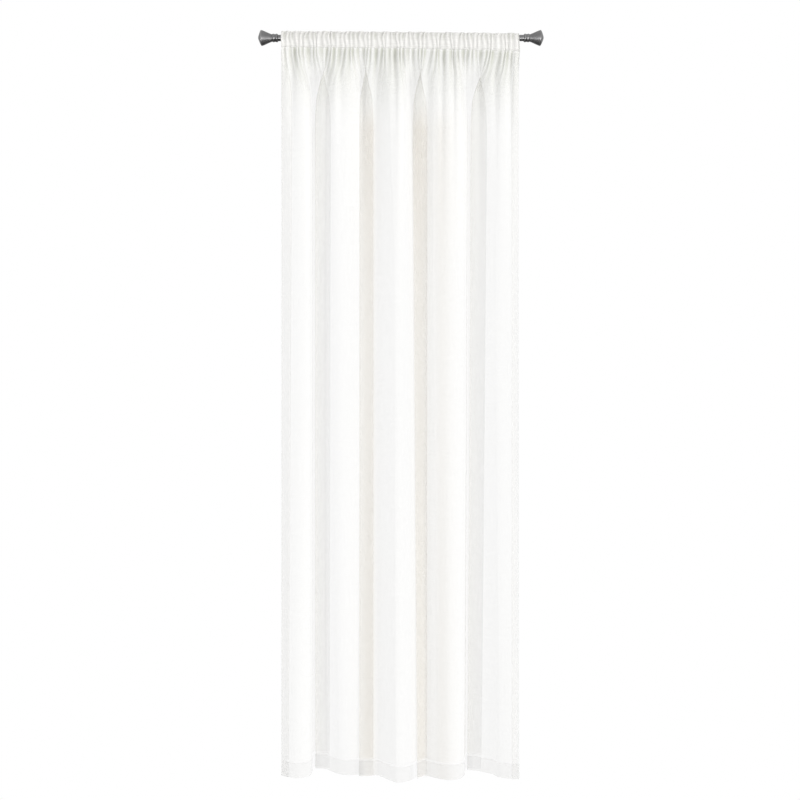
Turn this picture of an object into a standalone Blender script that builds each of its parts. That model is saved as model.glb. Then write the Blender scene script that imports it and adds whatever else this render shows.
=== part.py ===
# A sheer voile curtain gathered on a metal rod with trumpet finials.
#
# Frame: metres, +Z up, +X to the right of someone who faces the curtain, and +Y away from
# them. The origin is the middle of the rod's axis. "Out" means towards the viewer (-Y).

from collections import namedtuple
from math import cos, pi, radians, sin, tan

import bmesh
import bpy
from mathutils import Matrix, Vector

MM = 0.001

# Rod, collars and finials
ROD_RADIUS = 10.0 * MM
ROD_WALL = 1.0 * MM
ROD_END = 424.0 * MM
SEAT_GAP = 0.4 * MM
FIT_GAP = 0.3 * MM
ROUND_STEPS = 24

# Panel: hung width, sheet and pencil pleats
SHEET_THICKNESS = 1.2 * MM
LEFT_EDGE = -399.7 * MM
RIGHT_EDGE = 395.4 * MM
PLEATS = 52
COLUMNS_PER_PLEAT = 4
COLUMNS_PER_STEP = 2
LAST_COLUMN = PLEATS * COLUMNS_PER_PLEAT
PLEAT_SWING = 4.45 * MM
SEAM_BACK = 2.0 * MM

# The heading hangs lower at its right end: its drop at the middle, and how that changes
# towards the ends, as a slope and a curve
DROP_MIDDLE = 3.2 * MM
DROP_SLOPE = 5.8 * MM
DROP_CURVE = 2.6 * MM

# The pleats lean unevenly, and the top edge is uneven: two waves each, size and pleat rate
LEAN_WAVES = ((1.1 * MM, 1.9), (0.7 * MM, 4.3))
TOP_WAVES = ((1.0 * MM, 2.3), (0.6 * MM, 0.9))

# How much lower than the panel's top edge, and higher than its stitched line, the tape ends
TAPE_SETBACK = 1.5 * MM

# Layers of cloth in a tuck lie this far apart
LAYER_GAP = 7.0 * MM

# The heights that the fold plan's x_top and x_hem belong to
FALL_TOP = -350.0 * MM
FALL_HEM = -2470.4 * MM

# In front of the rod the sheet follows an octagon round this circle, with its corners at
# 22.5 degrees: SHOULDER is how far above and below the axis they are
CLEAR_RADIUS = ROD_RADIUS + SEAT_GAP + SHEET_THICKNESS / 2
SHOULDER = CLEAR_RADIUS * tan(radians(22.5))

# Lines of the heading, from the top. z is the height at the left side hem, drop the share of
# the heading's drop, lean how far the pleats lean and which way, in_tape whether the tape has
# the line too.
HeadLine = namedtuple("HeadLine", "name z drop lean in_tape")
HEADING_LINES = [
    HeadLine("top edge", 22.8 * MM, 0.9, 1.0, True),
    HeadLine("upper corner at the rod", SHOULDER, 0.0, 0.2, True),
    HeadLine("lower corner at the rod", -SHOULDER, 0.0, -0.2, True),
    HeadLine("seam under the rod", -18.0 * MM, 0.3, -0.5, False),
    HeadLine("lower stitched line", -30.2 * MM, 1.0, -1.0, True),
]

# Lines of the panel under the heading. z is in millimetres, pleat the share of the pencil
# pleats' swing, gather the soft gathers' swing in millimetres, across how far the cloth has
# gone sideways into the fold plan, layers and depth the shares of the plan's layers and depth,
# and skip how many columns lie between two points.
BodyLine = namedtuple("BodyLine", "name z pleat lean gather across layers depth skip")
BODY_LINES = [
    BodyLine("under the heading", -56, 0.62, -0.8, 4.5, 0.04, 0.3, 0.04, 1),
    BodyLine("gathers", -92, 0.30, -0.4, 8.5, 0.13, 1.1, 0.13, 1),
    BodyLine("gathers open", -140, 0, 0, 8.0, 0.36, 3.4, 0.34, 2),
    BodyLine("folds begin", -205, 0, 0, 4.5, 0.62, 2.2, 0.58, 2),
    BodyLine("folds full", -350, 0, 0, 1.5, 1, 1.1, 0.74, 2),
    BodyLine("upper fall", -800, 0, 0, 0, 1, 1, 0.80, 2),
    BodyLine("middle fall", -1350, 0, 0, 0, 1, 1, 0.87, 2),
    BodyLine("lower fall", -1900, 0, 0, 0, 1, 1, 0.94, 2),
    BodyLine("top of the hem", -2420, 0, 0, 0, 1, 1, 0.99, 2),
    BodyLine("bottom edge", -2470.4, 0, 0, 0, 1, 1, 1, 2),
]

# The plan of the hanging folds, from the left side hem to the right one, in millimetres.
# x_top and x_hem are the fold's place high up and at the hem, depth is how far it stands out
# at the hem, layer counts the layers in front of it in a tuck (a half where the cloth turns)
# and steps is the cloth since the row above, in steps of half a pleat.
Fold = namedtuple("Fold", "name x_top x_hem depth layer steps")
FOLDS = [
    Fold("left side hem", -399.7, -399.7, 7, 0, 0),
    Fold("left roll", -347, -347, 29, 0, 4),
    Fold("left roll edge", -306, -306, 10, 0, 3),
    Fold("first return", -300, -300, -36, 1, 3),
    Fold("first tuck back", -298, -298, -49, 2, 2),
    Fold("first tuck right turn", -231, -237, -46, 1.5, 4),
    Fold("first tuck left turn", -291, -292, -50, 0.5, 4),
    Fold("first tuck front", -253, -253, -48, 0, 3),
    Fold("slope", -237, -237, -38, 0, 1),
    Fold("second roll", -192, -192, -4, 0, 4),
    Fold("second roll front", -160, -160, 2, 0.3, 2),
    Fold("second tuck right turn", -98, -98, 1, 1.5, 5),
    Fold("second tuck left turn", -140, -140, 10, 0.5, 3),
    Fold("second tuck front", -105, -105, 4, 0, 3),
    Fold("middle valley", -82, -82, -0.5, 0, 2),
    Fold("middle roll slope", -52, -52, 25, 0, 3),
    Fold("middle roll", -18, -18, 54.5, 0, 3),
    Fold("middle roll top", -3, -3, 56, 0, 1),
    Fold("middle roll edge", 16, 24, 46, 0, 2),
    Fold("third tuck back", 29, 41, 35, 1, 2),
    Fold("third tuck slope", 43, 57, 19, 2, 2),
    Fold("third tuck right turn", 90, 88, -8, 2, 3),
    Fold("third tuck left turn", 40, 55, 21, 0.5, 4),
    Fold("third tuck front", 62, 67, 9, 0, 2),
    Fold("third valley", 80, 80, -4.5, 0, 1),
    Fold("fourth roll slope", 108, 108, 10, 0, 2),
    Fold("fourth roll rise", 135, 135, 23, 0, 2),
    Fold("fourth roll", 168, 168, 29.5, 0, 3),
    Fold("fourth roll edge", 204, 202, 14, 0, 3),
    Fold("second return", 224, 218, -26, 1, 3),
    Fold("fourth tuck back", 230, 221, -55, 2, 3),
    Fold("fourth tuck right turn", 292, 276, -55, 1.5, 4),
    Fold("fourth tuck left turn", 236, 227, -57, 0.5, 4),
    Fold("fourth tuck front", 268, 266, -50, 0, 3),
    Fold("right slope", 306, 306, -29, 0, 3),
    Fold("right roll rise", 331, 331, -3.5, 0, 3),
    Fold("right roll", 371, 371, 9, 0, 3),
    Fold("right side hem", 395.4, 395.4, 8, 0, 2),
]

# Soft gathers under the heading: the hollows between them, left to right, in millimetres
GATHER_HOLLOWS = [-412, -365, -305, -250, -204, -131, -84, -17, 10, 37, 91, 138, 176, 211, 265,
                  319, 366, 412]

# Turned profiles, in millimetres: distance from the curtain's middle, and radius
COLLAR_BEADS = [(412.2, 11.2), (413.4, 13.0), (415.4, 13.7), (417.4, 13.0), (418.8, 11.3),
                (423.6, 11.0), (425.2, 12.4), (427.6, 13.5), (430.0, 12.6), (431.4, 11.2)]
COLLAR_BORE = ROD_RADIUS + FIT_GAP
TRUMPET = [(431.8, 10.6), (438.5, 11.6), (446.0, 13.5), (451.0, 15.0), (455.4, 17.0),
           (460.0, 19.8), (464.5, 22.9), (467.2, 24.4), (469.0, 24.2), (471.5, 20.0),
           (475.0, 12.4), (477.8, 5.4)]
TRUMPET_TIP = 479.0 * MM
SPIGOT_START = 404.0 * MM
SPIGOT_RADIUS = ROD_RADIUS - ROD_WALL - FIT_GAP
NECK_START = ROD_END + FIT_GAP
NECK_RADIUS = ROD_RADIUS

SHARP_ANGLE = radians(40)
SAME_POINT = 0.01 * MM


def clear_scene():
    """Remove the objects that a new file holds."""
    for obj in list(bpy.data.objects):
        bpy.data.objects.remove(obj)


def make_material(name, colour, roughness, metallic):
    """A plain Principled material."""
    material = bpy.data.materials.new(name)
    material.use_nodes = True
    shader = material.node_tree.nodes["Principled BSDF"]
    shader.inputs["Base Color"].default_value = (*colour, 1.0)
    shader.inputs["Roughness"].default_value = roughness
    shader.inputs["Metallic"].default_value = metallic
    return material


def add_object(name, bm, material):
    """Turn a bmesh into an object with smooth shading."""
    mesh = bpy.data.meshes.new(name)
    bm.to_mesh(mesh)
    bm.free()
    mesh.materials.append(material)
    mesh.shade_smooth()
    mesh.set_sharp_from_angle(angle=SHARP_ANGLE)
    obj = bpy.data.objects.new(name, mesh)
    bpy.context.scene.collection.objects.link(obj)
    return obj


def between(low, high, share):
    """The value at a share of the way from low to high."""
    return low + (high - low) * share


def heading_drop(column):
    """How much lower the cloth hangs at a column than at the left side hem."""
    side = 2 * column / LAST_COLUMN - 1
    return DROP_MIDDLE + DROP_SLOPE * side + DROP_CURVE * side * side


def heading_x(column):
    """A column's place across the drawn-up heading."""
    return between(LEFT_EDGE, RIGHT_EDGE, column / LAST_COLUMN)


def pleat_number(column):
    """The pencil pleat that a column belongs to."""
    return (column + 1) // COLUMNS_PER_PLEAT


def pleat_swing(column):
    """Out and back swing of the pencil pleats: two columns out, two columns back."""
    return PLEAT_SWING if column % COLUMNS_PER_PLEAT in (0, 1) else -PLEAT_SWING


def pleat_lean(column, lean):
    """Sideways lean of a column's pleat, which differs above and below the rod."""
    pleat = pleat_number(column)
    return abs(lean) * sum(size * sin(rate * pleat + lean) for size, rate in LEAN_WAVES)


def gather_wave(x):
    """From -1 in a hollow between two soft gathers to 1 on a gather."""
    place = x / MM
    for left, right in zip(GATHER_HOLLOWS, GATHER_HOLLOWS[1:]):
        if place <= right:
            break
    return -cos(2 * pi * (place - left) / (right - left))


def fold_plan(step, fall):
    """Place, depth and layer setback at a step of cloth, for a share of the fall.

    A smooth curve through the table's rows, whose slope at a row comes from the rows on
    both sides of it.
    """
    rows = [(between(fold.x_top, fold.x_hem, fall), fold.depth, fold.layer) for fold in FOLDS]
    knots = [sum(fold.steps for fold in FOLDS[:count + 1]) for count in range(len(FOLDS))]
    index = 0
    while step > knots[index + 1]:
        index += 1
    before = max(index - 1, 0)
    after = min(index + 2, len(rows) - 1)
    width = knots[index + 1] - knots[index]
    share = (step - knots[index]) / width
    square = share ** 2
    cube = share ** 3
    values = []
    for axis in range(len(rows[0])):
        here = rows[index][axis]
        there = rows[index + 1][axis]
        slope_here = (there - rows[before][axis]) / (knots[index + 1] - knots[before]) * width
        slope_there = (rows[after][axis] - here) / (knots[after] - knots[index]) * width
        value = (2 * cube - 3 * square + 1) * here + (3 * square - 2 * cube) * there
        value += (cube - 2 * square + share) * slope_here + (cube - square) * slope_there
        values.append(value)
    x, depth, layer = values
    return x * MM, depth * MM, layer * LAYER_GAP


def back_swing_out(height):
    """How far out the pleats' back swings lie: clear of the rod, and close at the seams."""
    if abs(height) <= SHOULDER:
        return CLEAR_RADIUS
    return max(-SEAM_BACK, CLEAR_RADIUS + SHOULDER - abs(height))


def heading_line(line, setback, side):
    """A line of the heading in the panel (side 1) or, behind the rod, in the tape (side -1)."""
    points = []
    edge = line.drop * setback * (1 if line.z > 0 else -1)
    for column in range(LAST_COLUMN + 1):
        height = line.z - line.drop * heading_drop(column) - edge
        x = heading_x(column) + pleat_lean(column, line.lean)
        centre = back_swing_out(height) + PLEAT_SWING
        out = side * centre + pleat_swing(column)
        points.append(Vector((x, -out, height)))
    return points


def body_line(line):
    """A line of the panel under the heading."""
    points = []
    fall = min(max((line.z * MM - FALL_TOP) / (FALL_HEM - FALL_TOP), 0.0), 1.0)
    for column in range(0, LAST_COLUMN + 1, line.skip):
        fold_x, depth, setback = fold_plan(column / COLUMNS_PER_STEP, fall)
        x = between(heading_x(column), fold_x, line.across) + pleat_lean(column, line.lean)
        out = line.pleat * (PLEAT_SWING - SEAM_BACK + pleat_swing(column))
        out += line.depth * depth - line.layers * setback + line.gather * MM * gather_wave(x)
        points.append(Vector((x, -out, line.z * MM - heading_drop(column))))
    return points


def ripple_top(points):
    """Make a top edge as uneven as a drawn-up heading is."""
    for column, point in enumerate(points):
        pleat = pleat_number(column)
        point.z += sum(size * sin(rate * pleat) for size, rate in TOP_WAVES)


def add_sheet(name, lines, material):
    """A thin closed sheet through lines of points, whose columns may halve on the way down."""
    bm = bmesh.new()
    above = []
    for line in lines:
        here = [bm.verts.new(point) for point in line]
        if len(above) == len(here):
            for cell in range(len(here) - 1):
                bm.faces.new((above[cell], here[cell], here[cell + 1], above[cell + 1]))
        elif above:
            for cell in range(len(here) - 1):
                left, middle, right = above[2 * cell:2 * cell + 3]
                bm.faces.new((left, here[cell], middle))
                bm.faces.new((middle, here[cell], here[cell + 1]))
                bm.faces.new((middle, here[cell + 1], right))
        above = here
    bmesh.ops.triangulate(bm, faces=bm.faces)
    obj = add_object(name, bm, material)
    solidify = obj.modifiers.new("sheet thickness", "SOLIDIFY")
    solidify.thickness = SHEET_THICKNESS
    solidify.offset = 0.0
    solidify.use_quality_normals = True


def add_panel(material):
    """The voile panel: heading in front of the rod, soft gathers, folds and hem."""
    lines = [heading_line(line, 0.0, 1) for line in HEADING_LINES]
    ripple_top(lines[0])
    lines += [body_line(line) for line in BODY_LINES]
    add_sheet("curtain_panel", lines, material)


def add_tape(material):
    """The gathering tape: in the panel's own pleats, and behind the rod."""
    lines = [heading_line(line, TAPE_SETBACK, -1) for line in HEADING_LINES if line.in_tape]
    add_sheet("heading_tape", lines, material)


def add_turned(name, profile, closed, side, material):
    """Spin a profile of (distance, radius) about the rod's axis, to the left (-1) or right."""
    bm = bmesh.new()
    verts = [bm.verts.new((distance, 0.0, radius)) for distance, radius in profile]
    pairs = list(zip(verts, verts[1:]))
    if closed:
        pairs.append((verts[-1], verts[0]))
    edges = [bm.edges.new(pair) for pair in pairs]
    bmesh.ops.spin(bm, geom=verts + edges, cent=(0, 0, 0), axis=(1, 0, 0), angle=2 * pi,
                   steps=ROUND_STEPS, use_merge=True)
    bmesh.ops.remove_doubles(bm, verts=bm.verts, dist=SAME_POINT)
    if side < 0:
        bmesh.ops.transform(bm, matrix=Matrix.Scale(-1, 4, (1, 0, 0)), verts=bm.verts)
    bmesh.ops.recalc_face_normals(bm, faces=bm.faces)
    add_object(name, bm, material)


def add_rod(material):
    """The tube, open at its ends."""
    bore = ROD_RADIUS - ROD_WALL
    profile = [(-ROD_END, bore), (-ROD_END, ROD_RADIUS), (ROD_END, ROD_RADIUS), (ROD_END, bore)]
    add_turned("rod", profile, True, 1, material)


def add_collar(name, side, material):
    """The sleeve with two beads over the tube's end."""
    outside = [(distance * MM, radius * MM) for distance, radius in COLLAR_BEADS]
    inside = [(outside[-1][0], COLLAR_BORE), (outside[0][0], COLLAR_BORE)]
    add_turned(name, outside + inside, True, side, material)


def add_finial(name, side, material):
    """The trumpet, with its neck in the collar and its spigot in the tube."""
    spigot = [(SPIGOT_START, 0.0), (SPIGOT_START, SPIGOT_RADIUS), (NECK_START, SPIGOT_RADIUS)]
    flare = [(distance * MM, radius * MM) for distance, radius in TRUMPET]
    neck = [(NECK_START, NECK_RADIUS), (flare[0][0], NECK_RADIUS)]
    add_turned(name, spigot + neck + flare + [(TRUMPET_TIP, 0.0)], False, side, material)


clear_scene()
voile = make_material("white voile", (0.93, 0.925, 0.905), 0.9, 0.0)
tape = make_material("white tape", (0.90, 0.90, 0.88), 0.85, 0.0)
metal = make_material("brushed gunmetal", (0.36, 0.36, 0.37), 0.35, 1.0)
add_panel(voile)
add_tape(tape)
add_rod(metal)
for word, side in (("left", -1), ("right", 1)):
    add_collar(f"collar_{word}", side, metal)
    add_finial(f"finial_{word}", side, metal)
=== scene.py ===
# Looks of a sheer voile curtain gathered on a metal rod with trumpet finials.
#
# Frame: metres, +Z up, +X to the right of someone who faces the curtain, and +Y away from
# them. The origin is the middle of the rod's axis. "Out" means towards the viewer (-Y).

from collections import namedtuple
from math import cos, pi, radians, sin, tanh

import bmesh
import bpy
from mathutils import Matrix, Vector


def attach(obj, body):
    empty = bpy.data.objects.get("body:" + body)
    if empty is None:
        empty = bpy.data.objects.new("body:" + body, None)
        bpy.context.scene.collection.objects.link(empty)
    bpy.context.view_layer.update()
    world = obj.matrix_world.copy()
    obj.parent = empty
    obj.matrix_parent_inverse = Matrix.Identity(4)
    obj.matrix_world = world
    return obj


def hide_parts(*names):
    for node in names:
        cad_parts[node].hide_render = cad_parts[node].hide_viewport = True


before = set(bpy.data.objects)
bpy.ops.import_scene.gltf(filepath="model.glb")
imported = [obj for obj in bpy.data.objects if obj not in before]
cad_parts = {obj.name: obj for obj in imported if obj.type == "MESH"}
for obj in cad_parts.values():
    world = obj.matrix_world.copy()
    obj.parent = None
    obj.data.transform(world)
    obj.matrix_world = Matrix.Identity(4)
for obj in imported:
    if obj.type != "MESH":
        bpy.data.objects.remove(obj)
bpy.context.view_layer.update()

# --- Rod -----------------------------------------------------------------------------------
# A plain drawn steel tube, 20 mm across, plated dark grey and brushed along its length.
# It lies in the tunnel between the panel and the tape, and its ends are in the collars.

MM = 0.001
ROD_RADIUS = 10.0 * MM
ROD_WALL = 1.0 * MM
ROD_END = 424.0 * MM
ROD_EASE = 0.3 * MM
ROD_LOOP = 3 * ROD_EASE
SPIN_STEPS = 96
SAME_POINT = 0.005 * MM
SHARP_EDGE = radians(50)

# The plating: its darkest and lightest places, the lighter tint of its rims and bead crests,
# partly wear and partly a painted highlight, and over how much of the radius it becomes so
PLATING_DARK = (0.150, 0.150, 0.155, 1.0)
PLATING_LIGHT = (0.285, 0.283, 0.285, 1.0)
WEAR_AND_GLINT_TINT = (0.46, 0.455, 0.45, 1.0)
WEAR_AND_GLINT_OVER = 0.9 * MM
ROUGHNESS_RANGE = 0.16


def link_piece(name, bm, material):
    """Make a finished piece of a bmesh, with smooth shading."""
    mesh = bpy.data.meshes.new(name)
    bm.to_mesh(mesh)
    bm.free()
    mesh.materials.append(material)
    mesh.shade_smooth()
    mesh.set_sharp_from_angle(angle=SHARP_EDGE)
    piece = bpy.data.objects.new(name, mesh)
    bpy.context.scene.collection.objects.link(piece)
    return piece


def spin_profile(name, profile, closed, side, material):
    """Turn a profile of (distance, radius) points about the rod's axis."""
    bm = bmesh.new()
    verts = [bm.verts.new((distance, 0.0, radius)) for distance, radius in profile]
    pairs = list(zip(verts, verts[1:]))
    if closed:
        pairs.append((verts[-1], verts[0]))
    edges = [bm.edges.new(pair) for pair in pairs]
    bmesh.ops.spin(bm, geom=verts + edges, cent=(0, 0, 0), axis=(1, 0, 0), angle=2 * pi,
                   steps=SPIN_STEPS, use_merge=True)
    bmesh.ops.remove_doubles(bm, verts=bm.verts, dist=SAME_POINT)
    if side < 0:
        bmesh.ops.transform(bm, matrix=Matrix.Scale(-1, 4, (1, 0, 0)), verts=bm.verts)
    bmesh.ops.recalc_face_normals(bm, faces=bm.faces)
    return link_piece(name, bm, material)


def add_node(tree, kind, **values):
    """Add a shader node and set its values: inputs by name, and its own settings."""
    node = tree.nodes.new(kind)
    for name, value in values.items():
        socket = node.inputs.get(name.replace("_", " "))
        if socket is None:
            setattr(node, name, value)
        else:
            socket.default_value = value
    return node


def gunmetal(name, brush, glint_and_wear_from, dullness):
    """Dark grey plated steel: brush is how fine its lines are along X, Y and Z, per metre; then
    comes the distance from the axis where its plating starts to turn lighter, partly from wear
    and partly as a painted highlight; and dullness is the roughness of its smoothest places."""
    material = bpy.data.materials.new(name)
    material.use_nodes = True
    tree = material.node_tree
    shader = tree.nodes["Principled BSDF"]
    shader.inputs["Metallic"].default_value = 1.0
    place = add_node(tree, "ShaderNodeTexCoord")
    stretch = add_node(tree, "ShaderNodeMapping", Scale=brush)
    lines = add_node(tree, "ShaderNodeTexNoise", Scale=1.0, Detail=3.0, Roughness=0.6)
    clouds = add_node(tree, "ShaderNodeTexNoise", Scale=38.0, Detail=4.0, Roughness=0.55)
    tint = add_node(tree, "ShaderNodeValToRGB")
    tint.color_ramp.elements[0].position = 0.30
    tint.color_ramp.elements[0].color = PLATING_DARK
    tint.color_ramp.elements[1].position = 0.72
    tint.color_ramp.elements[1].color = PLATING_LIGHT
    mottle = add_node(tree, "ShaderNodeMix", data_type="FLOAT")
    mottle.inputs[0].default_value = 0.4
    rough = add_node(tree, "ShaderNodeMapRange", From_Min=0.3, From_Max=0.7, To_Min=dullness,
                     To_Max=dullness + ROUGHNESS_RANGE)
    bump = add_node(tree, "ShaderNodeBump", Strength=0.05, Distance=0.05 * MM)
    across = add_node(tree, "ShaderNodeVectorMath", operation="MULTIPLY")
    across.inputs[1].default_value = (0.0, 1.0, 1.0)
    radius = add_node(tree, "ShaderNodeVectorMath", operation="LENGTH")
    # Lighter at the rims and bead crests: partly wear, partly a painted highlight
    glint_and_wear = add_node(tree, "ShaderNodeMapRange", From_Min=glint_and_wear_from, From_Max=glint_and_wear_from + WEAR_AND_GLINT_OVER,
                      To_Min=0.0, To_Max=0.9)
    patchy = add_node(tree, "ShaderNodeMath", operation="MULTIPLY")
    glint_and_wear_tint = add_node(tree, "ShaderNodeMix", data_type="RGBA")
    glint_and_wear_tint.inputs[7].default_value = WEAR_AND_GLINT_TINT
    tree.links.new(place.outputs["Object"], stretch.inputs["Vector"])
    tree.links.new(stretch.outputs["Vector"], lines.inputs["Vector"])
    tree.links.new(place.outputs["Object"], clouds.inputs["Vector"])
    tree.links.new(lines.outputs["Fac"], mottle.inputs[2])
    tree.links.new(clouds.outputs["Fac"], mottle.inputs[3])
    tree.links.new(place.outputs["Object"], across.inputs[0])
    tree.links.new(across.outputs["Vector"], radius.inputs[0])
    tree.links.new(radius.outputs["Value"], glint_and_wear.inputs["Value"])
    tree.links.new(glint_and_wear.outputs["Result"], patchy.inputs[0])
    tree.links.new(clouds.outputs["Fac"], patchy.inputs[1])
    tree.links.new(patchy.outputs["Value"], glint_and_wear_tint.inputs[0])
    tree.links.new(mottle.outputs[0], tint.inputs["Fac"])
    tree.links.new(tint.outputs["Color"], glint_and_wear_tint.inputs[6])
    tree.links.new(glint_and_wear_tint.outputs[2], shader.inputs["Base Color"])
    tree.links.new(lines.outputs["Fac"], rough.inputs["Value"])
    tree.links.new(rough.outputs["Result"], shader.inputs["Roughness"])
    tree.links.new(lines.outputs["Fac"], bump.inputs["Height"])
    tree.links.new(bump.outputs["Normal"], shader.inputs["Normal"])
    return material


rod_bore = ROD_RADIUS - ROD_WALL
rod_profile = [(-ROD_END, rod_bore), (-ROD_END, ROD_RADIUS - ROD_EASE),
               (-ROD_END + ROD_EASE, ROD_RADIUS), (-ROD_END + ROD_LOOP, ROD_RADIUS),
               (ROD_END - ROD_LOOP, ROD_RADIUS), (ROD_END - ROD_EASE, ROD_RADIUS),
               (ROD_END, ROD_RADIUS - ROD_EASE), (ROD_END, rod_bore)]
drawn_steel = gunmetal("brushed gunmetal tube", (9.0, 2600.0, 2600.0), 9.9 * MM, 0.24)
rod_tube = spin_profile("rod_tube", rod_profile, True, 1, drawn_steel)
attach(rod_tube, "root")
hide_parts("rod")

# --- Collars -------------------------------------------------------------------------------
# A turned sleeve with two beads over each end of the tube, of the same plated steel.
# It is pushed on, and it hides the joint between the tube and the finial's neck.

FIT_GAP = 0.3 * MM
COLLAR_BORE = ROD_RADIUS + FIT_GAP
PROFILE_CUTS = 4
Turned = namedtuple("Turned", "distance radius")
COLLAR_BEADS = [Turned(412.2, 11.2), Turned(413.6, 12.7), Turned(415.8, 13.5),
                Turned(418.0, 13.1), Turned(420.6, 12.2), Turned(423.4, 12.3),
                Turned(425.6, 13.2), Turned(427.8, 13.5), Turned(430.0, 12.7),
                Turned(431.4, 11.9)]


def smooth_through(knots, rows, place):
    """The values at a place on a smooth curve through rows of values at their knots."""
    index = 0
    while index < len(knots) - 2 and place > knots[index + 1]:
        index += 1
    before = max(index - 1, 0)
    after = min(index + 2, len(rows) - 1)
    width = knots[index + 1] - knots[index]
    share = (place - knots[index]) / width
    square = share ** 2
    cube = share ** 3
    values = []
    for axis in range(len(rows[0])):
        here = rows[index][axis]
        there = rows[index + 1][axis]
        slope_here = (there - rows[before][axis]) / (knots[index + 1] - knots[before]) * width
        slope_there = (rows[after][axis] - here) / (knots[after] - knots[index]) * width
        value = (2 * cube - 3 * square + 1) * here + (3 * square - 2 * cube) * there
        value += (cube - 2 * square + share) * slope_here + (cube - square) * slope_there
        values.append(value)
    return values


def turned_curve(rows, cuts):
    """A finer profile through turned rows, in metres, with cuts points between two rows."""
    knots = [0.0]
    for here, there in zip(rows, rows[1:]):
        step = ((there.distance - here.distance) ** 2 + (there.radius - here.radius) ** 2) ** 0.5
        knots.append(knots[-1] + step)
    points = []
    for here, there in zip(knots, knots[1:]):
        for cut in range(cuts):
            place = here + (there - here) * cut / cuts
            distance, radius = smooth_through(knots, rows, place)
            points.append((distance * MM, radius * MM))
    points.append((rows[-1].distance * MM, rows[-1].radius * MM))
    return points


turned_steel = gunmetal("turned gunmetal collar", (2400.0, 50.0, 50.0), 12.9 * MM, 0.24)
collar_outside = turned_curve(COLLAR_BEADS, PROFILE_CUTS)
collar_inside = [(collar_outside[-1][0], COLLAR_BORE), (collar_outside[0][0], COLLAR_BORE)]
for word, side in (("left", -1), ("right", 1)):
    sleeve = spin_profile(f"beaded_sleeve_{word}", collar_outside + collar_inside, True, side,
                          turned_steel)
    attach(sleeve, "root")
    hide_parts(f"collar_{word}")

# --- Finials -------------------------------------------------------------------------------
# A solid turned trumpet on each end: a flared bell with a rolled rim and a low coned face.
# Its neck sits in the collar, and the spigot behind the neck is pushed into the tube.

SPIGOT_START = 404.0 * MM
SPIGOT_RADIUS = rod_bore - FIT_GAP
NECK_START = ROD_END + FIT_GAP
FINIAL_TIP = 479.0 * MM
TRUMPET = [Turned(431.8, 11.8), Turned(434.5, 12.4), Turned(438.5, 13.9), Turned(446.0, 16.9),
           Turned(451.0, 19.0), Turned(455.4, 20.9), Turned(460.0, 22.7), Turned(464.5, 24.3),
           Turned(467.2, 24.9), Turned(469.0, 24.2), Turned(471.5, 20.0), Turned(475.0, 12.4),
           Turned(477.8, 5.4)]

turned_trumpet = gunmetal("turned gunmetal trumpet", (2400.0, 50.0, 50.0), 24.1 * MM, 0.36)
spigot = [(SPIGOT_START, 0.0), (SPIGOT_START, SPIGOT_RADIUS), (NECK_START, SPIGOT_RADIUS)]
bell = turned_curve(TRUMPET, PROFILE_CUTS)
neck = [(NECK_START, ROD_RADIUS), (bell[0][0], ROD_RADIUS)]
for word, side in (("left", -1), ("right", 1)):
    trumpet = spin_profile(f"trumpet_{word}", spigot + neck + bell + [(FINIAL_TIP, 0.0)], False,
                           side, turned_trumpet)
    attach(trumpet, "root")
    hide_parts(f"finial_{word}")

# --- Voile panel ---------------------------------------------------------------------------
# One length of sheer white polyester voile, hemmed at its sides and bottom, whose top is
# turned down behind itself. The tape draws it up into pencil pleats, which open into soft
# gathers and then into four rolls with tucks between them.

FLAT_WIDTH = 1.40
VOILE_THICKNESS = 0.25 * MM
LEFT_EDGE = -399.7 * MM
RIGHT_EDGE = 395.4 * MM
PLEATS = 52
PLEAT_COLUMNS = 4
LAST_COLUMN = PLEATS * PLEAT_COLUMNS
CUTS = 2
PLEAT_SWING = 4.45 * MM
SEAM_BACK = 2.0 * MM
PLEAT_ROUND = 0.7 * MM
DROP_MIDDLE = 3.2 * MM
DROP_SLOPE = 5.8 * MM
DROP_CURVE = 2.6 * MM
LAYER_GAP = 7.0 * MM
GATHERS_END = -205
FALL_TOP = -350.0
FALL_HEM = -2470.4
SHOULDER = 4.56 * MM
CLEAR_RADIUS = 11.0 * MM
TOP_EDGE = 20.2
STITCH_LINE = -30.2
TURNING_EDGE = -34.8
HEM_TOP = -2420.0
HEM_EASE = 8.0
SIDE_PLY = 0.8 * MM
TURNED_PLY = 1.35 * MM
EDGE_FOLD = 0.5 * MM
SIDE_FOLD = 0.2 * MM
SIDE_HEM = 4

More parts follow.
